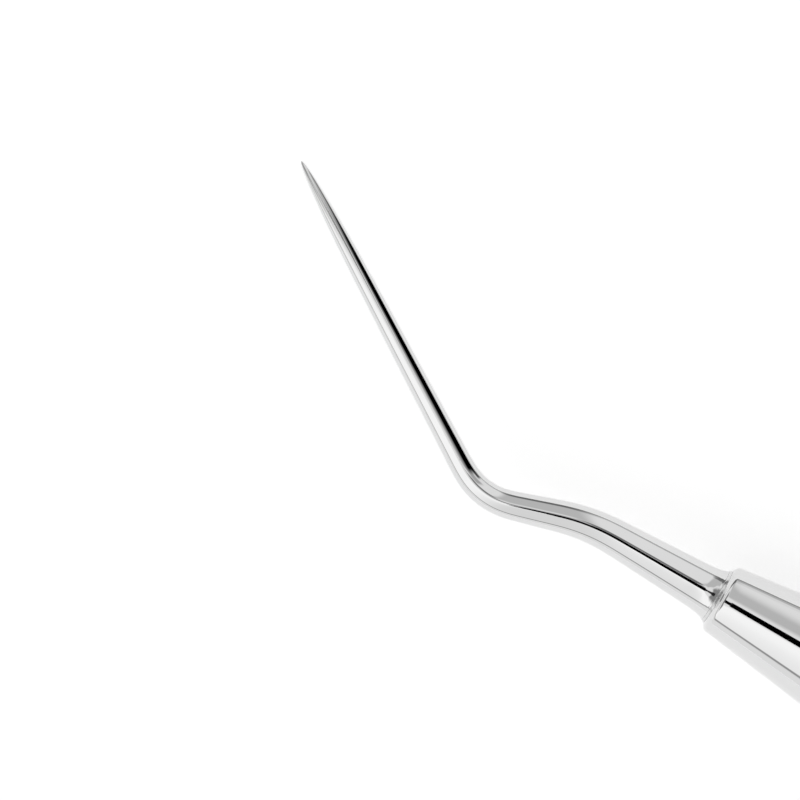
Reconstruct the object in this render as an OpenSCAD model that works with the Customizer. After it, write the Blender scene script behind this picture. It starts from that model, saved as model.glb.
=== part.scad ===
// Bent-shank scriber: a slender steel needle on a cranked shank, which screws into
// the nose of a hollow octagonal handle with two knurled grips.
//
// Frame: the tool lies on the middle flat of its octagonal barrel. X runs along the
// handle, from the needle to the end cap, Z is up, and the origin is the centre of
// the flat that it rests on. The needle and the cranked shank lie in a level plane.

/* [Working end] */
// Length of the needle, from its tip to the corner where its line meets the crank's
needle_len = 26.7; // [20:0.1:32]
// Angle between the needle and the handle's axis
needle_angle = 32.2; // [20:0.1:45]
// Radius of the needle where it enters its bend
needle_r = 0.87; // [0.6:0.01:0.9]
// Radius that the needle's cone would have at the tip if the tip weren't sharpened
needle_tip_r = 0.46; // [0.3:0.01:0.55]
// Length of the sharpened point
point_len = 6; // [3:0.1:8]
// Length of the cranked shank, between the two bends' corners
crank_len = 7.93; // [7:0.01:10]
// Angle between the cranked shank and the handle's axis
crank_angle = 17.5; // [10:0.1:20]
// Centreline radius of the bend at the needle
needle_bend_r = 5.1; // [4:0.1:5.5]
// Centreline radius of the bend at the neck
neck_bend_r = 16; // [10:0.5:16]
// Radius of the shank at the neck bend
shank_r = 1.24; // [1.1:0.01:1.4]

/* [Neck and seat] */
// Distance from the seat to the neck bend's corner
neck_len = 10.15; // [8:0.05:14]
// Radius of the neck where the fillet to its flange begins
neck_r = 1.66; // [1.5:0.01:1.7]
// Length of the concave fillet that runs out to the flange
fillet_len = 1; // [0.8:0.1:1.5]
// Radius of the concave fillet
fillet_r = 2.2; // [1.8:0.1:3]
// Radius of the flange at the seat
flange_r = 1.98; // [1.9:0.01:2.05]
// Length of the threaded tang behind the flange
tang_len = 7.5; // [5:0.1:9]
// Radius of the tang over its thread crests
tang_r = 1.45; // [1.3:0.01:1.5]
// Thickness of the washer between the flange and the nose
washer_t = 0.2; // [0.1:0.05:0.4]
// Outer radius of the washer
washer_r = 2.06; // [2:0.01:2.1]

/* [Nose ferrule] */
// Length of the ferrule that shows, from the washer to the front ring
nose_len = 11; // [8:0.5:11]
// Radius of the nose's front face
nose_face_r = 2.12; // [2.1:0.01:2.2]
// Length of the nose's steep front
nose_front_len = 0.14; // [0.1:0.01:0.2]
// Slope of the nose's steep front, measured from the axis
nose_front_angle = 59; // [50:1:65]
// Radius that rounds the steep front into the flare
shoulder_round_r = 0.42; // [0.3:0.01:0.5]
// Slope of the flare behind the shoulder, measured from the axis
flare_angle = 7.5; // [5:0.5:7.5]
// Length of the spigots pressed into the tube, at both ends of the handle
spigot_len = 8; // [6:0.5:10]

/* [Handle] */
// Length of the octagonal barrel
barrel_len = 40; // [30:1:60]
// Distance across the barrel's flats
barrel_flats = 8.6; // [8.4:0.1:10]
// Length of the front knurled grip
front_grip_len = 30; // [20:1:40]
// Length of the rear knurled grip
rear_grip_len = 24; // [16:1:36]
// Outer radius of both grips
grip_r = 4; // [3.8:0.05:4.1]
// Radius of the tube's turned-down ends, which carry the grips
tube_end_r = 3.4; // [3.2:0.05:3.6]
// Radius of the tube's bore
tube_bore_r = 2.6; // [2.2:0.05:2.8]
// Width of each silicone ring
ring_w = 2; // [1.5:0.1:3]
// Outer radius of each silicone ring
ring_r = 4.1; // [3.9:0.05:4.15]
// Radius of the cross pins
pin_r = 0.5; // [0.4:0.05:0.7]

/* [End cap] */
// Radius of the end cap's cylinder
cap_r = 3.8; // [3.6:0.05:3.95]
// Length of the end cap's cylinder
cap_len = 9; // [6:0.5:14]
// Length of the end cap's dome
dome_len = 3; // [2:0.1:3.8]

/* [Fits] */
// Radial clearance of the tang in its bores
tang_clearance = 0.05; // [0.02:0.01:0.1]

/* [Hidden] */
$fn = 64;

CURVE_STEPS = 10;
EDGE = 0.3;            // chamfer on turned edges
WASHER_EDGE = 0.04;
POINT_CURVE = 2.5;     // exponent of the sharpened point's curve: 1 is a plain cone
RELIEF_R = 1.15;       // the tang's undercut behind the flange
RELIEF_LEN = 0.6;
BORE_SPARE = 0.75;     // how much deeper the ferrule's bore is than the tang
PIN_INSET = 4;         // from the end of the tube to its cross pin
PIN_RECESS = 0.1;      // how far each cross pin's ends stop below the tube's surface
RING_CROWN = 0.35;     // how much a ring's edges are lower than its middle
BEVEL_SLOPE = 2;       // length to depth of the bevels at the barrel's ends
CUT = 1;               // how far a cutting tool reaches past the metal
BEND_SWELL = 0.02;     // how much thicker the first bend is than the needle's root

// Stations along the handle's axis
barrel_front = -barrel_len / 2;
barrel_rear = barrel_len / 2;
front_grip_x = barrel_front - front_grip_len;
tube_front = front_grip_x - ring_w;
nose_x = tube_front - nose_len;
seat_x = nose_x - washer_t;
rear_ring_x = barrel_rear + rear_grip_len;
tube_rear = rear_ring_x + ring_w;

axis_z = barrel_flats / 2;
tang_bore_r = tang_r + tang_clearance;
bend_angle = needle_angle + crank_angle;
needle_setback = needle_bend_r * tan(bend_angle / 2);
neck_setback = neck_bend_r * tan(crank_angle / 2);

// The outlines below are lists of [radius, position along the axis]

// An arc of radius arc_r about [r, z], where the surface's slope goes from a0 to a1
function arc(r, z, arc_r, a0, a1) = [
    for (i = [0:CURVE_STEPS])
        let (a = a0 + (a1 - a0) * i / CURVE_STEPS)
        [r + arc_r * cos(a), z - arc_r * sin(a)]
];

// How far a circular fillet has risen, at a distance d from where it starts
function fillet_rise(d) = fillet_r - sqrt(fillet_r * fillet_r - d * d);

// Places children on the handle's axis at station x
module at(x) {
    translate([x, 0, axis_z]) children();
}

// A solid of revolution about the X axis
module turned(outline) {
    rotate([0, 90, 0]) rotate_extrude() polygon(outline);
}

// A sleeve from x = 0 to len, with chamfered outer edges
module sleeve(outer_r, inner_r, len, chamfer) {
    turned([
        [inner_r, 0], [outer_r - chamfer, 0], [outer_r, chamfer],
        [outer_r, len - chamfer], [outer_r - chamfer, len], [inner_r, len]
    ]);
}

// A tapered length of round bar along +X, with the next length at its end
module bar(len, r1, r2) {
    rotate([0, 90, 0]) cylinder(h = len, r1 = r1, r2 = r2);
    translate([len, 0, 0]) children();
}

// A bend in a round bar that heads along +X, to the left for side = 1 and to the
// right for side = -1, with the next length at its end
module bend(bar_r, centre_r, angle, side) {
    translate([0, side * centre_r, 0]) rotate([0, 0, -90 * side])
        rotate_extrude(angle = side * angle) translate([centre_r, 0]) circle(r = bar_r);
    translate([centre_r * sin(angle), side * centre_r * (1 - cos(angle)), 0])
        rotate([0, 0, side * angle]) children();
}

// The straight needle along +X: a slight cone, then the sharpened point
module needle(len) {
    taper = (needle_r - needle_tip_r) / len;
    outline = [
        for (i = [0:2 * CURVE_STEPS])
            let (t = i / (2 * CURVE_STEPS), to_tip = point_len * (1 - t))
            [(needle_tip_r + taper * to_tip) * (1 - pow(t, POINT_CURVE)), len - to_tip]
    ];
    turned(concat([[0, 0], [needle_r, 0]], outline));
}

// Fillet, flange and threaded tang, with the seat at x = 0 and the tang along +X
module seat_end() {
    cone_rise = flange_r - neck_r - fillet_rise(fillet_len);
    fillet = [
        for (i = [0:CURVE_STEPS])
            let (d = fillet_len * i / CURVE_STEPS)
            [neck_r + fillet_rise(d) + cone_rise * d / fillet_len, d - fillet_len]
    ];
    turned(concat(
        [[0, -fillet_len]],
        fillet,
        [
            [RELIEF_R, 0], [RELIEF_R, RELIEF_LEN], [tang_r, RELIEF_LEN + EDGE],
            [tang_r, tang_len - EDGE], [tang_r - EDGE, tang_len], [0, tang_len]
        ]
    ));
}

// Needle, cranked shank, neck, flange and tang: one ground and bent steel bar
module working_point() {
    color("silver") at(seat_x) {
        seat_end();
        rotate([0, 0, 180]) translate([fillet_len, 0, 0])
            bar(neck_len - neck_setback - fillet_len, neck_r, shank_r)
            bend(shank_r, neck_bend_r, crank_angle, 1)
            bar(crank_len - needle_setback - neck_setback, shank_r, needle_r + BEND_SWELL)
            bend(needle_r + BEND_SWELL, needle_bend_r, bend_angle, -1)
            needle(needle_len - needle_setback);
    }
}

module seat_washer() {
    color("lightgray") at(seat_x) sleeve(washer_r, tang_bore_r, washer_t, WASHER_EDGE);
}

// A hole across the handle for a cross pin
module pin_hole(x) {
    at(x) rotate([90, 0, 0]) cylinder(h = 2 * (tube_end_r + CUT), r = pin_r, center = true);
}

module cross_pin(x) {
    color("silver") at(x) rotate([90, 0, 0])
        cylinder(h = 2 * (tube_end_r - PIN_RECESS), r = pin_r, center = true);
}

// Turned nose: a steep front rounded into a long flare, a spigot for the tube, and
// a blind bore for the tang
module nose_ferrule() {
    bore_len = tang_len - washer_t + BORE_SPARE;
    round_centre_r = nose_face_r + nose_front_len * tan(nose_front_angle)
        - shoulder_round_r * cos(nose_front_angle);
    round_centre_z = nose_front_len + shoulder_round_r * sin(nose_front_angle);
    shoulder = arc(
        round_centre_r, round_centre_z, shoulder_round_r, nose_front_angle, flare_angle
    );
    flare_start = shoulder[CURVE_STEPS];
    rear_r = flare_start[0] + (nose_len - EDGE - flare_start[1]) * tan(flare_angle);
    color("silver") difference() {
        at(nose_x) turned(concat(
            [
                [0, bore_len], [tang_bore_r, bore_len], [tang_bore_r, 0], [nose_face_r, 0]
            ],
            shoulder,
            [
                [rear_r, nose_len - EDGE], [rear_r - EDGE, nose_len],
                [tube_bore_r, nose_len], [tube_bore_r, nose_len + spigot_len - EDGE],
                [tube_bore_r - EDGE, nose_len + spigot_len], [0, nose_len + spigot_len]
            ]
        ));
        pin_hole(tube_front + PIN_INSET);
    }
}

// Octagonal barrel with round, turned-down ends and a bore right through
module handle_tube() {
    corner_r = barrel_flats / 2 / cos(180 / 8);
    blank_r = corner_r + CUT;
    end_r = grip_r - EDGE;
    bevel = BEVEL_SLOPE * (blank_r - end_r);
    color("gainsboro") difference() {
        union() {
            intersection() {
                at(barrel_front) rotate([0, 90, 0]) rotate([0, 0, 180 / 8])
                    cylinder(h = barrel_len, r = corner_r, $fn = 8);
                at(barrel_front) turned([
                    [0, 0], [end_r, 0], [blank_r, bevel],
                    [blank_r, barrel_len - bevel], [end_r, barrel_len], [0, barrel_len]
                ]);
            }
            at(tube_front) rotate([0, 90, 0])
                cylinder(h = tube_rear - tube_front, r = tube_end_r);
        }
        at(tube_front - CUT) rotate([0, 90, 0])
            cylinder(h = tube_rear - tube_front + 2 * CUT, r = tube_bore_r);
        pin_hole(tube_front + PIN_INSET);
        pin_hole(tube_rear - PIN_INSET);
    }
}

// Silicone band with a crowned outside
module ring(x) {
    crowned = [
        for (i = [0:2 * CURVE_STEPS])
            let (a = 180 * i / (2 * CURVE_STEPS))
            [ring_r - RING_CROWN * (1 - sin(a)), ring_w / 2 * (1 - cos(a))]
    ];
    color("dimgray") at(x) turned(concat([[tube_end_r, 0]], crowned, [[tube_end_r, ring_w]]));
}

// Knurled sleeve, at the size over the tops of its diamonds
module grip(x, len) {
    color("darkgray") at(x) sleeve(grip_r, tube_end_r, len, EDGE);
}

// Domed plug with a spigot for the tube
module end_cap() {
    dome = [
        for (i = [0:CURVE_STEPS])
            let (a = 90 * i / CURVE_STEPS)
            [cap_r * cos(a), cap_len + dome_len * sin(a)]
    ];
    color("silver") difference() {
        at(tube_rear) turned(concat(
            [
                [0, -spigot_len], [tube_bore_r - EDGE, -spigot_len],
                [tube_bore_r, EDGE - spigot_len], [tube_bore_r, 0],
                [cap_r - EDGE, 0], [cap_r, EDGE]
            ],
            dome
        ));
        pin_hole(tube_rear - PIN_INSET);
    }
}

working_point();
seat_washer();
nose_ferrule();
cross_pin(tube_front + PIN_INSET);  // ferrule_pin
handle_tube();
ring(tube_front);  // front_ring
grip(front_grip_x, front_grip_len);  // front_grip
grip(barrel_rear, rear_grip_len);  // rear_grip
ring(rear_ring_x);  // rear_ring
cross_pin(tube_rear - PIN_INSET);  // cap_pin
end_cap();
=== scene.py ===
"""The looks of a bent-shank scriber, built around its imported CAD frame.

Lengths are in metres, and most are written in millimetres times MM. The handle's axis
runs along X, the needle points to -X, and the tool lies on a flat of its barrel at z = 0.
"""

from math import ceil, cos, hypot, pi, radians, sin, sqrt, tan

import bmesh
import bpy
from mathutils import Matrix, Vector


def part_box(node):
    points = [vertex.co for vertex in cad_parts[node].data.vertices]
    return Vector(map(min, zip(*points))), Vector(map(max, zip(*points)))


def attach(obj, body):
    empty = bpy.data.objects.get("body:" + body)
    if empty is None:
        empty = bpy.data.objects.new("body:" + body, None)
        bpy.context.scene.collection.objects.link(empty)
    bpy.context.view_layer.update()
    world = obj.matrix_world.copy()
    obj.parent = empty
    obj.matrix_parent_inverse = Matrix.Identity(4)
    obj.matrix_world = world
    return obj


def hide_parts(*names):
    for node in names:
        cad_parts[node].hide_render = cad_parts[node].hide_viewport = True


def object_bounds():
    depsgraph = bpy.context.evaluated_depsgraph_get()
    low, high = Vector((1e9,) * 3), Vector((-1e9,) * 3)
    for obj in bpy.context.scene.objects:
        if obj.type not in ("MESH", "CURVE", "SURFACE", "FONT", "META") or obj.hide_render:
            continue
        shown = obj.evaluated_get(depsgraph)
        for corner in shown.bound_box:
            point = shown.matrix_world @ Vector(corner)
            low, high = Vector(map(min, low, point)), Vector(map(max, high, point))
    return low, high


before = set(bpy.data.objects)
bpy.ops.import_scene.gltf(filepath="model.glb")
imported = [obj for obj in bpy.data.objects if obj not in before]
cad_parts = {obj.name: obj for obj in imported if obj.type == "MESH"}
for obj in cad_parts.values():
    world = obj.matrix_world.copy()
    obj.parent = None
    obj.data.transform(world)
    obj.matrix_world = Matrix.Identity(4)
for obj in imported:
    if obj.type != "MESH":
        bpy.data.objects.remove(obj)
cad_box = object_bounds()

MM = 0.001


# ---------------------------------------------------------------- stations, from the frame

def low_x(node):
    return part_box(node)[0][0]


def high_x(node):
    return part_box(node)[1][0]


def half_height(node):
    low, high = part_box(node)
    return (high[2] - low[2]) / 2


AXIS_Z = half_height("handle_tube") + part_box("handle_tube")[0][2]
SEAT_X = low_x("seat_washer")
NOSE_X = low_x("nose_ferrule")
TUBE_FRONT = low_x("handle_tube")
TUBE_REAR = high_x("handle_tube")
BARREL_FRONT = high_x("front_grip")
BARREL_REAR = low_x("rear_grip")
FLOOR_Z = cad_box[0][2]

TUBE_BORE_R = 2.6 * MM
TUBE_END_R = 3.4 * MM

# ---------------------------------------------------------------- the working end's design

NECK_LEN = 10.15 * MM          # from the seat to the neck bend's corner
CRANK_LEN = 7.93 * MM
NEEDLE_LEN = 26.7 * MM
CRANK_ANGLE = radians(17.5)
NEEDLE_ANGLE = radians(32.2)
NECK_BEND_R = 14 * MM
NEEDLE_BEND_R = 4.9 * MM
BEND_EASE = 0.3                # share of each bend over which its curve starts, and ends

POINT_R = 0.25 * MM            # radius of the sharp point, 1 mm behind its tip
POINT_POWER = 0.46
NEEDLE_TIP_R = 0.503 * MM      # radius that the needle's cone would have at the tip
NEEDLE_TAPER = 0.0145
POINT_BLEND = 0.1 * MM

# Radius of the shank, by distance from the seat along its centreline, in mm
SHANK = [
    (0.15, 1.89), (0.5, 1.785), (1.0, 1.7), (2.4, 1.612), (3.5, 1.55), (7.9, 1.318),
    (11.3, 1.185), (15.6, 1.038), (17.9, 0.945), (20.2, 0.868), (23.5, 0.807)
]
SHANK_BLEND = 1.5 * MM         # over which the shank's radius turns into the needle's
FLANGE_R = 1.955 * MM
FLANGE_ROUND = 0.018 * MM

PITCH = 0.5 * MM               # the thread's, as the coupled joints state it
TANG_LEN = 7.5 * MM
TANG_R = 1.45 * MM
THREAD_DEPTH = 0.3 * MM
RELIEF_R = 1.12 * MM
RELIEF_LEN = 0.6 * MM
THREAD_CLEARANCE = 0.045 * MM
THREAD_ROOT = 0.25             # share of the pitch along the root
THREAD_FLANKS = 0.625          # share of the pitch along both flanks


# ---------------------------------------------------------------- mesh helpers

TURNED_SIDES = 160             # points around a turned piece


def add_mesh(name, verts, faces, body, material, sharp=30):
    """A piece from points and faces, smooth but for edges sharper than that many degrees."""
    mesh = bpy.data.meshes.new(name)
    mesh.from_pydata(verts, [], faces)
    mesh.update()
    piece = bpy.data.objects.new(name, mesh)
    bpy.context.scene.collection.objects.link(piece)
    mesh.materials.append(material)
    mesh.shade_smooth()
    mesh.set_sharp_from_angle(angle=radians(sharp))
    if body:
        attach(piece, body)
    return piece


def loft(rings, close=False):
    """Points and faces of a skin over rings that hold equally many points. Its ends are
    capped, or with close they are joined to each other."""
    count = len(rings[0])
    verts = [p for ring in rings for p in ring]
    faces = []
    pairs = len(rings) if close else len(rings) - 1
    for k in range(pairs):
        a, b = k * count, (k + 1) % len(rings) * count
        for i in range(count):
            j = (i + 1) % count
            faces.append((a + i, a + j, b + j, b + i))
    if not close:
        for end in (0, len(rings) - 1):
            ring = rings[end]
            centre = len(verts)
            verts.append(tuple(sum(p[k] for p in ring) / count for k in range(3)))
            a = end * count
            for i in range(count):
                j = (i + 1) % count
                faces.append((centre, a + j, a + i) if end == 0 else (centre, a + i, a + j))
    return verts, faces


def ring_at(x, radius, sides, wobble=None):
    """A ring of points about the handle's axis. wobble(x, angle) replaces the radius."""
    points = []
    for i in range(sides):
        angle = 2 * pi * i / sides
        r = wobble(x, angle) if wobble else radius
        points.append((x, r * sin(angle), AXIS_Z + r * cos(angle)))
    return points


def fillet_outline(corners, step):
    """Outline points from corners (x, radius, rounding), with an arc at each rounded one,
    in steps of at most that angle."""
    out = []
    for k, (x, r, rounding) in enumerate(corners):
        here = Vector((x, r))
        if not rounding or k in (0, len(corners) - 1):
            out.append(here)
            continue
        before = Vector(corners[k - 1][:2]) - here
        after = Vector(corners[k + 1][:2]) - here
        turn = pi - before.angle(after)
        setback = min(rounding * tan(turn / 2), 0.49 * before.length, 0.49 * after.length)
        rounding = setback / tan(turn / 2)
        u, v = before.normalized(), after.normalized()
        centre = here + (u + v).normalized() * hypot(setback, rounding)
        start, end = here + u * setback - centre, here + v * setback - centre
        steps = max(2, ceil(turn / step))
        sweep = start.angle_signed(end)
        for i in range(steps + 1):
            arm = start.copy()
            arm.rotate(Matrix.Rotation(-sweep * i / steps, 2))
            out.append(centre + arm)
    return [(p.x, p.y) for p in out]


def subdivide(outline, longest):
    """The outline with points added, so that no step is longer than that."""
    out = [outline[0]]
    for (x0, r0), (x1, r1) in zip(outline, outline[1:]):
        parts = max(1, ceil(hypot(x1 - x0, r1 - r0) / longest))
        out += [(x0 + (x1 - x0) * i / parts, r0 + (r1 - r0) * i / parts)
                for i in range(1, parts + 1)]
    return out


def turned(name, outline, body, material, closed=False):
    """A solid of revolution about the handle's axis, from outline points (x, radius)."""
    rings = [ring_at(x, r, TURNED_SIDES) for x, r in outline]
    verts, faces = loft(rings, close=closed)
    return add_mesh(name, verts, faces, body, material)


def smooth_min(a, b, blend):
    near = max(0.0, 1 - abs(a - b) / blend)
    return min(a, b) - blend / 4 * near * near


def through(points, x):
    """A smooth, monotone curve through (x, y) points, in increasing x."""
    slopes = []
    gaps = [(b[1] - a[1]) / (b[0] - a[0]) for a, b in zip(points, points[1:])]
    for k in range(len(points)):
        if k in (0, len(points) - 1):
            slopes.append(gaps[0] if k == 0 else gaps[-1])
        elif gaps[k - 1] * gaps[k] <= 0:
            slopes.append(0.0)
        else:
            slopes.append(2 * gaps[k - 1] * gaps[k] / (gaps[k - 1] + gaps[k]))
    for k in range(len(points) - 1):
        (x0, y0), (x1, y1) = points[k], points[k + 1]
        if x <= x1 or k == len(points) - 2:
            h = x1 - x0
            t = min(max((x - x0) / h, 0.0), 1.0)
            return (y0 * (1 + 2 * t) * (1 - t) ** 2 + slopes[k] * h * t * (1 - t) ** 2
                    + y1 * t * t * (3 - 2 * t) + slopes[k + 1] * h * t * t * (t - 1))


# ---------------------------------------------------------------- the thread

def thread_profile(x, angle, crest, root):
    """Radius of a right-handed thread about the handle's axis, with flanks about 55
    degrees apart, in step with the screw motion of the point."""
    phase = (-x / PITCH - angle / (2 * pi)) % 1.0
    height = abs(2 * phase - 1)
    height = min(max((height - THREAD_ROOT) / THREAD_FLANKS, 0.0), 1.0)
    return root + (crest - root) * height


def tang_radius(x, angle):
    along = x - SEAT_X
    if along < RELIEF_LEN:
        return RELIEF_R
    full = thread_profile(x, angle, TANG_R, TANG_R - THREAD_DEPTH)
    run_out = RELIEF_R + (along - RELIEF_LEN) * 1.2
    lead_in = TANG_R + (TANG_LEN - along) - 0.32 * MM
    return max(min(full, run_out, lead_in), 0.3 * MM)


# ---------------------------------------------------------------- the working point

def bend_table(radius, total, steps=48):
    """The length of a bend whose curve eases in and out, its heading by distance, and
    the distance from each end to the corner of its two straights."""
    length = radius * total / (1 - BEND_EASE)
    ramp = BEND_EASE * length
    peak = total / (length - ramp)

    def heading(s):
        if s < ramp:
            return peak * s * s / (2 * ramp)
        if s > length - ramp:
            return total - heading(length - s)
        return peak * (s - ramp / 2)

    rise = sum(sin(heading(length * (k + 0.5) / steps)) * length / steps for k in range(steps))
    setback = rise / sin(total)
    return length, heading, setback


def centreline():
    """A function from distance past the seat to (point, heading), and the whole length.
    Heading 0 is -X, and grows anticlockwise from above."""
    neck_len, neck_turn, neck_back = bend_table(NECK_BEND_R, CRANK_ANGLE)
    total = CRANK_ANGLE + NEEDLE_ANGLE
    needle_len, needle_turn, needle_back = bend_table(NEEDLE_BEND_R, total)
    a = NECK_LEN - neck_back
    b = a + neck_len
    c = b + CRANK_LEN - neck_back - needle_back
    d = c + needle_len
    end = d + NEEDLE_LEN - needle_back

    def heading(s):
        if s < a:
            return 0.0
        if s < b:
            return neck_turn(s - a)
        if s < c:
            return CRANK_ANGLE
        if s < d:
            return CRANK_ANGLE - needle_turn(s - c)
        return -NEEDLE_ANGLE

    step = 0.02 * MM
    count = ceil(end / step)
    table = [(SEAT_X, 0.0)]
    for k in range(count):
        way = heading((k + 0.5) * step)
        x, y = table[-1]
        table.append((x - cos(way) * step, y - sin(way) * step))

    def point(s):
        if s <= 0:
            return SEAT_X - s, 0.0
        k = min(int(s / step), count - 1)
        t = s / step - k
        (x0, y0), (x1, y1) = table[k], table[k + 1]
        return x0 + (x1 - x0) * t, y0 + (y1 - y0) * t

    return point, heading, end


def shank_radius(s, end):
    """Radius at a distance s past the seat, up to the tip at distance end."""
    if s > SHANK[-1][0] * MM - SHANK_BLEND:
        to_tip = end - s
        point = POINT_R * (max(to_tip, 0.0) / MM) ** POINT_POWER
        cone = NEEDLE_TIP_R + NEEDLE_TAPER * to_tip
        needle = smooth_min(point, cone, POINT_BLEND)
        if s > SHANK[-1][0] * MM:
            return needle
        share = (s - SHANK[-1][0] * MM + SHANK_BLEND) / SHANK_BLEND
        return through(SHANK, s / MM) * MM * (1 - share) + needle * share
    return through(SHANK, s / MM) * MM


def working_point(material):
    """Needle, shank, flange and threaded tang as one swept skin."""
    sides = 128
    point, heading, end = centreline()
    rings = []
    thread_step = PITCH / 16
    tang_steps = int(TANG_LEN / thread_step)
    for k in range(tang_steps + 1):
        x = SEAT_X + TANG_LEN - k * TANG_LEN / tang_steps
        rings.append(ring_at(x, 0, sides, tang_radius))
    seat_face = fillet_outline([
        (SEAT_X, RELIEF_R, 0), (SEAT_X, FLANGE_R, FLANGE_ROUND),
        (SEAT_X - 0.1 * MM, FLANGE_R - 0.04 * MM, FLANGE_ROUND),
        (SEAT_X - SHANK[0][0] * MM, SHANK[0][1] * MM, 0)
    ], step=radians(12))
    rings += [ring_at(x, r, sides) for x, r in seat_face]

    stations = []
    s = SHANK[0][0] * MM
    while s < end - 0.02 * MM:
        to_tip = end - s
        near_seat = s < 2 * MM
        s += 0.05 * MM if near_seat else min(0.13 * MM, 0.012 * MM + to_tip * 0.12)
        stations.append(min(s, end - 0.004 * MM))
    stations += [end - 0.001 * MM, end - 0.0001 * MM]
    for s in stations:
        x, y = point(s)
        way = heading(s)
        r = shank_radius(s, end)
        across = Vector((-sin(way), cos(way), 0))
        ring = []
        for i in range(sides):
            angle = 2 * pi * i / sides
            p = Vector((x, y, AXIS_Z)) + across * (r * sin(angle)) + Vector((0, 0, r * cos(angle)))
            ring.append(tuple(p))
        rings.append(ring)
    verts, faces = loft(rings)
    piece = add_mesh("working_point_ground", verts, faces, "point", material,
                     sharp=40)
    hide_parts("working_point")


# ---------------------------------------------------------------- turned pieces

def seat_washer(material):
    outer, inner = half_height("seat_washer"), 1.5 * MM
    front, rear = low_x("seat_washer"), high_x("seat_washer")
    soft = 0.015 * MM
    outline = fillet_outline([
        (front, inner, 0), (front, outer - 0.09 * MM, soft), (rear, outer, soft),
        (rear, inner, 0)
    ], step=radians(15))
    piece = turned("seat_washer_turned", outline, "washer", material,
                   closed=True)
    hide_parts("seat_washer")


NOSE_FACE_R = 2.12 * MM
NOSE_FRONT_LEN = 0.14 * MM
NOSE_FRONT_ANGLE = radians(59)
SHOULDER_ROUND = 0.42 * MM
FLARE_ANGLE = radians(7.5)
BORE_LEN = 8.05 * MM


def nose_ferrule(material):
    """Steep front, rounded shoulder, flare, spigot, and a threaded blind bore."""
    rear = low_x("front_ring")
    spigot_end = high_x("nose_ferrule")
    turn = NOSE_FRONT_ANGLE - FLARE_ANGLE
    front_r = NOSE_FACE_R + NOSE_FRONT_LEN * tan(NOSE_FRONT_ANGLE)
    corner = SHOULDER_ROUND * tan(turn / 2)
    corner_x = NOSE_X + NOSE_FRONT_LEN + corner * cos(NOSE_FRONT_ANGLE)
    corner_r = front_r + corner * sin(NOSE_FRONT_ANGLE)
    rear_r = corner_r + (rear - corner_x) * tan(FLARE_ANGLE)
    countersink = 1.62 * MM
    outline = fillet_outline([
        (NOSE_X, countersink, 0), (NOSE_X, NOSE_FACE_R, 0.02 * MM),
        (corner_x, corner_r, SHOULDER_ROUND),
        (rear - 0.25 * MM, rear_r - 0.03 * MM, 0.12 * MM),
        (rear, rear_r - 0.28 * MM, 0.1 * MM),
        (rear, TUBE_BORE_R, 0.05 * MM), (spigot_end - 0.3 * MM, TUBE_BORE_R, 0.05 * MM),
        (spigot_end, TUBE_BORE_R - 0.3 * MM, 0.05 * MM), (spigot_end, 0.02 * MM, 0)
    ], step=radians(4))
    outline = subdivide(outline, 0.6 * MM)
    bore_end = NOSE_X + BORE_LEN
    crest, root = TANG_R - THREAD_DEPTH + THREAD_CLEARANCE, TANG_R + THREAD_CLEARANCE

    def bore_radius(x, angle):
        full = thread_profile(x, angle, root, crest)
        mouth = countersink - (x - NOSE_X)
        drilled = (bore_end - x) * 1.7
        return max(min(max(full, mouth), drilled), 0.02 * MM)

    steps = int((bore_end - NOSE_X) / (PITCH / 12))
    bore = [ring_at(bore_end - (bore_end - NOSE_X) * k / steps, 0, TURNED_SIDES, bore_radius)
            for k in range(steps)]
    rings = bore + [ring_at(x, r, TURNED_SIDES) for x, r in outline]
    verts, faces = loft(rings)
    piece = add_mesh("nose_ferrule_turned", verts, faces, "handle", material,
                     sharp=35)
    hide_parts("nose_ferrule")


def end_cap(material):
    front, rear = TUBE_REAR, high_x("end_cap")
    radius = half_height("end_cap")
    spigot_start = low_x("end_cap")
    dome_len = 3 * MM
    groove_x = front + 1.4 * MM
    outline = fillet_outline([
        (spigot_start, 0.02 * MM, 0), (spigot_start, TUBE_BORE_R - 0.3 * MM, 0.05 * MM),
        (spigot_start + 0.3 * MM, TUBE_BORE_R, 0.05 * MM), (front, TUBE_BORE_R, 0.05 * MM),
        (front, radius - 0.28 * MM, 0.06 * MM), (front + 0.28 * MM, radius, 0.15 * MM),
        (groove_x - 0.2 * MM, radius, 0.06 * MM), (groove_x, radius - 0.2 * MM, 0.08 * MM),
        (groove_x + 0.2 * MM, radius, 0.06 * MM), (rear - dome_len, radius, 0)
    ], step=radians(6))
    steps = 36
    for k in range(1, steps + 1):
        angle = pi / 2 * k / steps
        outline.append((rear - dome_len + dome_len * sin(angle),
                        max(radius * cos(angle), 0.02 * MM)))
    piece = turned("end_cap_turned", subdivide(outline, 0.6 * MM), "handle", material)
    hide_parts("end_cap")


def silicone_ring(node, material):
    """A crowned band with two fine moulded grooves."""
    front, rear = low_x(node), high_x(node)
    outer, inner = half_height(node), TUBE_END_R
    middle, half = (front + rear) / 2, (rear - front) / 2
    outline = [(front, inner)]
    steps = 60
    for k in range(steps + 1):
        across = -cos(pi * k / steps)
        crown = 0.35 * MM * (1 - sqrt(max(0.0, 1 - across * across)))
        groove = sum(0.06 * MM * max(0.0, 1 - ((across - c) / 0.11) ** 2) ** 2
                     for c in (-0.42, 0.42))
        outline.append((middle + half * across, outer - crown - groove))
    outline.append((rear, inner))
    piece = turned(node + "_moulded", outline, "handle", material, closed=True)
    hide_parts(node)


# ---------------------------------------------------------------- the octagonal barrel

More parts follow.
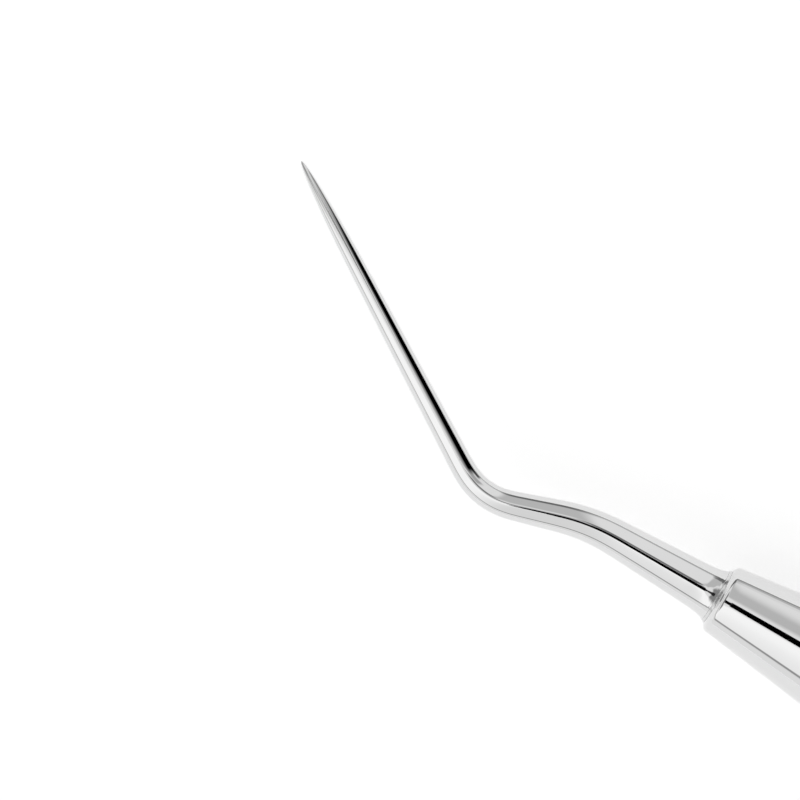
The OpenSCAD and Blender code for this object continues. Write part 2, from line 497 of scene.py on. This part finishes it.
def handle_tube(material):
    """Bored tube: octagonal in the middle, with turned bevels and round ends."""
    apothem = half_height("handle_tube")
    corner_round = 0.12 * MM
    bevel_end_r = 3.7 * MM
    bevel_slope = 0.5
    past_corners = 9 * MM      # a limit that leaves the octagon whole
    flat_steps = 20
    per_flat = 24
    angles = []
    for flat in range(8):
        for i in range(per_flat):
            t = -1 + 2 * i / per_flat
            angles.append(pi / 4 * flat + pi / 8 * (1 - (1 - abs(t)) ** 1.7) * (1 if t > 0 else -1))
    angles.sort()

    def octagon(angle):
        nearest = sorted(apothem / max(cos(angle - pi / 4 * k), 0.2) for k in range(8))
        return smooth_min(nearest[0], nearest[1], corner_round)

    def ring(x, limit, shaped):
        points = []
        for angle in angles:
            r = smooth_min(octagon(angle), limit, 0.05 * MM) if shaped else limit
            points.append((x, r * sin(angle), AXIS_Z + r * cos(angle)))
        return points

    edge = 0.08 * MM
    rings = [ring(TUBE_FRONT, TUBE_BORE_R, False), ring(TUBE_FRONT, TUBE_END_R - edge, False),
             ring(TUBE_FRONT + edge, TUBE_END_R, False),
             ring(BARREL_FRONT, TUBE_END_R, False)]
    bevel_len = (5.2 * MM - bevel_end_r) / bevel_slope
    steps = 40
    for side in (1, -1):
        part = []
        base = BARREL_FRONT if side == 1 else BARREL_REAR
        for k in range(steps + 1):
            x = bevel_len * k / steps
            limit = bevel_end_r + bevel_slope * x
            round_off = edge * max(0.0, 1 - x / edge) ** 2
            part.append(ring(base + side * x, limit - round_off, True))
        rings += part if side == 1 else part[::-1]
        if side == 1:
            inner_len = BARREL_REAR - BARREL_FRONT - 2 * bevel_len
            for k in range(1, flat_steps):
                x = BARREL_FRONT + bevel_len + inner_len * k / flat_steps
                rings.append(ring(x, past_corners, True))
    rings += [ring(BARREL_REAR, TUBE_END_R, False),
              ring(TUBE_REAR - edge, TUBE_END_R, False),
              ring(TUBE_REAR, TUBE_END_R - edge, False), ring(TUBE_REAR, TUBE_BORE_R, False)]
    verts, faces = loft(rings, close=True)
    piece = add_mesh("handle_tube_milled", verts, faces, "handle", material,
                     sharp=28)
    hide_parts("handle_tube")


# ---------------------------------------------------------------- knurled grips

KNURL_AROUND = 26              # diamonds around a grip
KNURL_DEPTH = 0.28 * MM
KNURL_FLAT = 0.34              # side of a diamond's flat top, as a share of its pitch
KNURL_SLOPE = 0.62             # width of a diamond, as a share of its length


def knurled_grip(node, material):
    """A sleeve of raised diamonds with sloped sides, cut off at turned collars."""
    front, rear = low_x(node), high_x(node)
    outer = half_height(node)
    collar = 0.9 * MM
    width = 2 * pi * outer / KNURL_AROUND
    length = width / KNURL_SLOPE
    start, stop = front + collar, rear - collar
    rows = ceil((stop - start) / (length / 2)) + 2
    mesh = bmesh.new()
    found = {}

    def vert(along, around, depth):
        """A point on the sleeve. along and around count half diamonds."""
        key = (round(along, 4), round(around % (2 * KNURL_AROUND), 4), round(depth, 7))
        if key not in found:
            angle = pi * key[1] / KNURL_AROUND
            r = outer - depth
            x = start + (along - 1) * length / 2
            found[key] = mesh.verts.new((x, r * sin(angle), AXIS_Z + r * cos(angle)))
        return found[key]

    top_reach, lip_reach = KNURL_FLAT, KNURL_FLAT + 0.1
    lip_depth = 0.035 * MM
    corners = ((1, 0), (0, 1), (-1, 0), (0, -1))
    for row in range(rows + 1):
        for column in range(KNURL_AROUND):
            around = 2 * column + row % 2
            valley, lip, top = (
                [vert(row + a * reach, around + b * reach, depth) for a, b in corners]
                for reach, depth in ((1, KNURL_DEPTH), (lip_reach, lip_depth), (top_reach, 0)))
            for i in range(4):
                j = (i + 1) % 4
                mesh.faces.new((valley[i], valley[j], lip[j], lip[i]))
                mesh.faces.new((lip[i], lip[j], top[j], top[i]))
            mesh.faces.new(top)
    for x, normal in ((start, (-1, 0, 0)), (stop, (1, 0, 0))):
        geometry = mesh.verts[:] + mesh.edges[:] + mesh.faces[:]
        bmesh.ops.bisect_plane(mesh, geom=geometry, plane_co=(x, 0, 0), plane_no=normal,
                               clear_outer=True, dist=1e-8)

    collar_r = outer - 0.1 * MM
    edge = 0.25 * MM
    for x, away in ((start, -1), (stop, 1)):
        rim = [e for e in mesh.edges if e.is_boundary
               and all(abs(v.co.x - x) < 1e-7 for v in e.verts)]
        profile = [(0.0, collar_r), (collar - edge, collar_r),
                   (collar - 0.07 * MM, collar_r - 0.07 * MM), (collar, collar_r - edge),
                   (collar, TUBE_END_R)]
        for along, r in profile:
            made = bmesh.ops.extrude_edge_only(mesh, edges=rim)["geom"]
            for v in (g for g in made if isinstance(g, bmesh.types.BMVert)):
                arm = hypot(v.co.y, v.co.z - AXIS_Z)
                v.co = Vector((x + away * along, v.co.y * r / arm,
                               AXIS_Z + (v.co.z - AXIS_Z) * r / arm))
            rim = [g for g in made if isinstance(g, bmesh.types.BMEdge) and g.is_boundary]
    ends = [e for e in mesh.edges if e.is_boundary]
    bmesh.ops.bridge_loops(mesh, edges=ends)
    bmesh.ops.recalc_face_normals(mesh, faces=mesh.faces[:])
    data = bpy.data.meshes.new(node + "_knurled")
    mesh.to_mesh(data)
    mesh.free()
    piece = bpy.data.objects.new(node + "_knurled", data)
    bpy.context.scene.collection.objects.link(piece)
    data.materials.append(material)
    data.shade_smooth()
    data.set_sharp_from_angle(angle=radians(24))
    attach(piece, "handle")
    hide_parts(node)


# ---------------------------------------------------------------- materials

class Nodes:
    """Short calls for a material's or world's node tree."""

    def __init__(self, tree):
        self.tree = tree

    def add(self, kind, **settings):
        node = self.tree.nodes.new(kind)
        for key, value in settings.items():
            setattr(node, key, value)
        return node

    def link(self, source, target):
        self.tree.links.new(source, target)

    def set(self, socket, value):
        """Links a socket, or sets a plain value."""
        if isinstance(value, bpy.types.NodeSocket):
            self.link(value, socket)
        else:
            socket.default_value = value

    def math(self, operation, a, b=0.0):
        node = self.add("ShaderNodeMath", operation=operation)
        for socket, value in zip(node.inputs, (a, b)):
            self.set(socket, value)
        return node.outputs[0]

    def ramp(self, value, low, high, to_low=0.0, to_high=1.0, smooth=True):
        node = self.add("ShaderNodeMapRange",
                        interpolation_type="SMOOTHSTEP" if smooth else "LINEAR")
        sockets = (value, low, high, to_low, to_high)
        for socket, item in zip(node.inputs, sockets):
            self.set(socket, item)
        return node.outputs[0]

    def place(self, stretch=(1, 1, 1)):
        """The piece's own coordinates in millimetres, stretched."""
        where = self.add("ShaderNodeTexCoord").outputs["Object"]
        scale = self.add("ShaderNodeVectorMath", operation="MULTIPLY")
        self.link(where, scale.inputs[0])
        scale.inputs[1].default_value = tuple(k / MM for k in stretch)
        return scale.outputs[0]

    def noise(self, where, scale, detail, roughness=0.5):
        node = self.add("ShaderNodeTexNoise")
        self.link(where, node.inputs["Vector"])
        node.inputs["Scale"].default_value = scale
        node.inputs["Detail"].default_value = detail
        node.inputs["Roughness"].default_value = roughness
        return node.outputs["Fac"]

    def bump(self, height, strength, distance):
        node = self.add("ShaderNodeBump")
        node.inputs["Strength"].default_value = strength
        node.inputs["Distance"].default_value = distance
        self.link(height, node.inputs["Height"])
        return node.outputs["Normal"]

    def mix_colour(self, factor, a, b):
        node = self.add("ShaderNodeMix", data_type="RGBA")
        self.set(node.inputs["Factor"], factor)
        for socket, colour in ((node.inputs[6], a), (node.inputs[7], b)):
            self.set(socket, colour)
        return node.outputs[2]


def new_material(name, **shader):
    """A node material, with its Principled shader's plain values set."""
    material = bpy.data.materials.new(name)
    material.use_nodes = True
    nodes = Nodes(material.node_tree)
    principled = material.node_tree.nodes["Principled BSDF"]
    for key, value in shader.items():
        principled.inputs[key.replace("_", " ")].default_value = value
    return material, nodes, principled


def grey(value, warmth=0.0):
    return (value * (1 + warmth), value, value * (1 - warmth), 1.0)


def polished_steel():
    """Mirror-polished stainless steel: hazy only in faint wipe marks and fine hairlines."""
    material, n, shader = new_material("mirror_polished_steel", Metallic=1.0)
    haze = n.noise(n.place(), 0.35, 3.0)
    hairlines = n.noise(n.place((0.35, 9, 9)), 3.0, 2.0)
    n.link(n.mix_colour(haze, grey(0.70, -0.004), grey(0.73, 0.004)), shader.inputs["Base Color"])
    rough = n.math("ADD", n.ramp(haze, 0.35, 0.75, 0.02, 0.05),
                   n.ramp(hairlines, 0.6, 0.8, 0.0, 0.05))
    n.link(rough, shader.inputs["Roughness"])
    n.link(n.bump(n.noise(n.place((0.5, 1, 1)), 1.2, 2.0), 0.05, 0.02 * MM),
           shader.inputs["Normal"])
    return material


def satin_steel():
    """Stainless steel brushed along the handle."""
    material, n, shader = new_material("satin_brushed_steel", Metallic=1.0)
    grain = n.noise(n.place((0.05, 12, 12)), 3.0, 5.0, 0.65)
    patches = n.noise(n.place(), 0.12, 2.0)
    n.link(n.mix_colour(grain, grey(0.55, 0.006), grey(0.68, 0.006)), shader.inputs["Base Color"])
    n.link(n.math("ADD", n.ramp(grain, 0.3, 0.7, 0.24, 0.4), n.ramp(patches, 0.4, 0.8, 0, 0.06)),
           shader.inputs["Roughness"])
    n.link(n.bump(grain, 0.25, 0.02 * MM), shader.inputs["Normal"])
    return material


def knurled_steel(outer):
    """Worn, smoother tops and duller valleys, by distance from the axis; the valleys' darker colour
    is painted shade.
    """
    material, n, shader = new_material("knurled_steel", Metallic=1.0)
    where = n.place()
    split = n.add("ShaderNodeSeparateXYZ")
    n.link(where, split.inputs[0])
    down = n.math("SUBTRACT", split.outputs[2], AXIS_Z / MM)
    reach = n.math("SQRT", n.math("ADD", n.math("MULTIPLY", split.outputs[1], split.outputs[1]),
                                  n.math("MULTIPLY", down, down)))
    # height is 0 in the valleys and 1 on the tops; it drives the painted shade in the colour and
    # the worn tops' lower roughness
    height = n.ramp(reach, (outer - KNURL_DEPTH) / MM, outer / MM, smooth=False)
    grain = n.noise(where, 14.0, 3.0)
    # painted shade: the valleys' colour is much darker than the tops', by depth alone
    n.link(n.mix_colour(height, grey(0.30), grey(0.66, 0.005)), shader.inputs["Base Color"])
    rough = n.math("SUBTRACT", n.ramp(grain, 0.3, 0.7, 0.34, 0.46),
                   n.math("MULTIPLY", height, 0.12))
    n.link(rough, shader.inputs["Roughness"])
    n.link(n.bump(grain, 0.2, 0.015 * MM), shader.inputs["Normal"])
    return material


def plain_steel(name, value, stretch):
    """Small hidden or edge pieces: turned or ground steel with fine marks."""
    material, n, shader = new_material(name, Metallic=1.0)
    marks = n.noise(n.place(stretch), 6.0, 3.0)
    n.link(n.mix_colour(marks, grey(value - 0.06), grey(value + 0.06)), shader.inputs["Base Color"])
    n.link(n.ramp(marks, 0.3, 0.7, 0.12, 0.26), shader.inputs["Roughness"])
    n.link(n.bump(marks, 0.15, 0.01 * MM), shader.inputs["Normal"])
    return material


def silicone():
    """Matt dark grey silicone with a fine moulded grain and a little dust."""
    material, n, shader = new_material("matt_silicone", Roughness=0.62,
                                       Specular_IOR_Level=0.35)
    grain = n.noise(n.place(), 9.0, 4.0, 0.6)
    dust = n.noise(n.place(), 0.8, 3.0)
    n.link(n.mix_colour(n.ramp(dust, 0.45, 0.75), grey(0.035), grey(0.06, 0.02)),
           shader.inputs["Base Color"])
    n.link(n.ramp(grain, 0.3, 0.7, 0.55, 0.72), shader.inputs["Roughness"])
    n.link(n.bump(grain, 0.3, 0.03 * MM), shader.inputs["Normal"])
    return material


# ---------------------------------------------------------------- camera, floor and light

PICTURE_TURN = radians(30)     # the handle runs 30 degrees below the picture's horizontal
FIELD = 56 * MM                # width in view at the handle's axis
FOCAL = 200
SENSOR = 36
AIM = (-89.15 * MM, 0.81 * MM)


def add_camera():
    data = bpy.data.cameras.new("camera")
    data.lens, data.sensor_width = FOCAL, SENSOR
    data.clip_start, data.clip_end = 1 * MM, 20
    camera = bpy.data.objects.new("camera", data)
    bpy.context.scene.collection.objects.link(camera)
    camera.location = (AIM[0], AIM[1], AXIS_Z + FIELD * FOCAL / SENSOR)
    camera.rotation_euler = (0, 0, PICTURE_TURN)
    bpy.context.scene.camera = camera


FLOOR_HALF = 3.0
FLOOR_GLOW = 0.52              # its own light, which keeps it nearly white


def add_floor():
    half = FLOOR_HALF
    material, n, shader = new_material("white_sweep", Roughness=0.7, Specular_IOR_Level=0.2)
    mottle = n.noise(n.place((0.02, 0.02, 0.02)), 1.0, 3.0)
    n.link(n.mix_colour(mottle, grey(0.80), grey(0.83)), shader.inputs["Base Color"])
    shader.inputs["Emission Color"].default_value = grey(1.0)
    shader.inputs["Emission Strength"].default_value = FLOOR_GLOW
    corners = [(-half, -half, FLOOR_Z), (half, -half, FLOOR_Z), (half, half, FLOOR_Z),
               (-half, half, FLOOR_Z)]
    floor_piece = add_mesh("floor", corners, [(0, 1, 2, 3)], None, material)


# The white tent, as patches of its inside that are darker or brighter than the rest.
# Directions are in degrees: azimuth anticlockwise from the picture's right, and polar
# angle from overhead. Each patch has its middle azimuth, half width and soft edge, its
# polar range, the soft edges inside and outside that range, and how many times as bright
# as the rest it is. The numbers were fitted so that the reflections in the main view fall
# where the photograph has them. The names only say what could make such a patch.
PATCHES = [
    # The tent's open front
    (4, 33, 7, 38, 80, 38, 4, 0.0),
    (38, 6, 5, 64, 80, 10, 4, 0.1),
    (43, 8, 5, 26, 44, 12, 12, 0.5),
    (54, 18, 8, 82, 87, 3, 3, 0.6),
    # The lens's hood, and the gap from it to the front
    (97, 16, 6, 5, 9, 3, 3, 0.3),
    (62, 16, 8, 8, 14, 5, 5, 0.2),
    # The tent's top panel, and the gap under it
    (84, 13, 7, 22, 74, 8, 4, 0.64),
    (94, 24, 12, 76, 87, 5, 3, 0.2),
    # The side towards the table's near edge
    (282, 48, 36, 3, 70, 14, 8, 0.72),
    # The lamp's side
    (229, 32, 15, 4, 66, 12, 6, 1.3),
    # The far corner's fold
    (150, 42, 20, 31, 50, 6, 6, 0.3),
    # The slit's far end
    (150, 13, 6, 8, 31, 3, 3, 0.05),
]
TENT_LIGHT = 0.97
BACKDROP_LIGHT = 1.25          # what shows of the tent beyond the floor's edge
FOLD_POLE = (10, 50)           # polar angle and azimuth that the tent's hem runs around
FOLD_ANGLE = 80                # from that pole to the middle of the hem
FOLD_HALF = 2.8                # half the hem's width
FOLD_LIGHT = 0.42


def tent_direction(polar, azimuth):
    """A direction from degrees off overhead and degrees anticlockwise from the
    picture's right."""
    turn = radians(azimuth) + PICTURE_TURN
    tilt = radians(polar)
    return Vector((sin(tilt) * cos(turn), sin(tilt) * sin(turn), cos(tilt)))


def add_world():
    """A white tent whose patches and hem show only in reflections. The camera itself sees
    a plain white background."""
    world = bpy.data.worlds.new("tent")
    bpy.context.scene.world = world
    world.use_nodes = True
    n = Nodes(world.node_tree)
    background = world.node_tree.nodes["Background"]
    where = n.add("ShaderNodeTexCoord").outputs["Generated"]

    def along(direction):
        dot = n.add("ShaderNodeVectorMath", operation="DOT_PRODUCT")
        n.link(where, dot.inputs[0])
        dot.inputs[1].default_value = tuple(direction)
        return dot.outputs["Value"]

    def angle_from(direction):
        return n.math("DEGREES", n.math("ARCCOSINE", along(direction)))

    polar = angle_from((0, 0, 1))
    light = TENT_LIGHT
    for azimuth, half, soft, low, high, soft_low, soft_high, factor in PATCHES:
        turn = n.math("DEGREES", n.math("ARCTAN2", along(tent_direction(90, azimuth + 90)),
                                        along(tent_direction(90, azimuth))))
        mask = n.ramp(n.math("ABSOLUTE", turn), half - soft / 2, half + soft / 2, 1.0, 0.0)
        for value in (n.ramp(polar, low - soft_low, low, smooth=False),
                      n.ramp(polar, high, high + soft_high, 1.0, 0.0)):
            mask = n.math("MULTIPLY", mask, value)
        light = n.math("MULTIPLY", light, n.ramp(mask, 0.0, 1.0, 1.0, factor, smooth=False))
    from_fold = n.math("ABSOLUTE", n.math("SUBTRACT", angle_from(tent_direction(*FOLD_POLE)),
                                          FOLD_ANGLE))
    light = n.math("MULTIPLY", light,
                   n.ramp(from_fold, FOLD_HALF * 0.6, FOLD_HALF * 1.4, FOLD_LIGHT, 1.0))
    seen = n.add("ShaderNodeLightPath").outputs["Is Camera Ray"]
    shown = n.add("ShaderNodeMix", data_type="FLOAT")
    n.link(seen, shown.inputs[0])
    n.link(light, shown.inputs[2])
    shown.inputs[3].default_value = BACKDROP_LIGHT
    n.link(shown.outputs[0], background.inputs["Strength"])
    background.inputs["Color"].default_value = (1, 1, 1, 1)


SLIT_HEIGHT = 80 * MM
# The lengths of the slit: name, range along X, and range along Y, in mm
SLITS = [("slit_over_nose", -76, -60, -9.5, 8.3), ("slit_over_neck", -82, -76, -6.6, 5.4)]


def add_slit(name, start_x, stop_x, start_y, stop_y):
    """A black opening over the handle's axis, as a flat card that only reflections show."""
    corners = [(x * MM, y * MM, SLIT_HEIGHT) for x, y in
               ((start_x, start_y), (start_x, stop_y), (stop_x, stop_y), (stop_x, start_y))]
    material = bpy.data.materials.new(name)
    material.use_nodes = True
    tree = material.node_tree
    tree.nodes.remove(tree.nodes["Principled BSDF"])
    glow = tree.nodes.new("ShaderNodeEmission")
    glow.inputs["Strength"].default_value = 0.0
    tree.links.new(glow.outputs[0], tree.nodes["Material Output"].inputs["Surface"])
    card = add_mesh(name, corners, [(0, 1, 2, 3)], None, material)
    card.visible_camera = card.visible_diffuse = card.visible_shadow = False


# ---------------------------------------------------------------- the whole scene

def dress_cad_nodes():
    """The hidden cross pins stay as the CAD has them."""
    steel = plain_steel("ground_pin_steel", 0.55, (1, 0.05, 1))
    for node in ("ferrule_pin", "cap_pin"):
        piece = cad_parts[node]
        piece.data.materials.clear()
        piece.data.materials.append(steel)


add_camera()
polished = polished_steel()
rubber = silicone()
knurled = knurled_steel(half_height("front_grip"))
working_point(polished)
seat_washer(plain_steel("turned_washer_steel", 0.68, (4, 1, 1)))
nose_ferrule(polished)
end_cap(polished)
silicone_ring("front_ring", rubber)
silicone_ring("rear_ring", rubber)
handle_tube(satin_steel())
knurled_grip("front_grip", knurled)
knurled_grip("rear_grip", knurled)
dress_cad_nodes()
add_floor()
add_world()
for slit in SLITS:
    add_slit(*slit)
bpy.context.scene.view_settings.view_transform = "Standard"
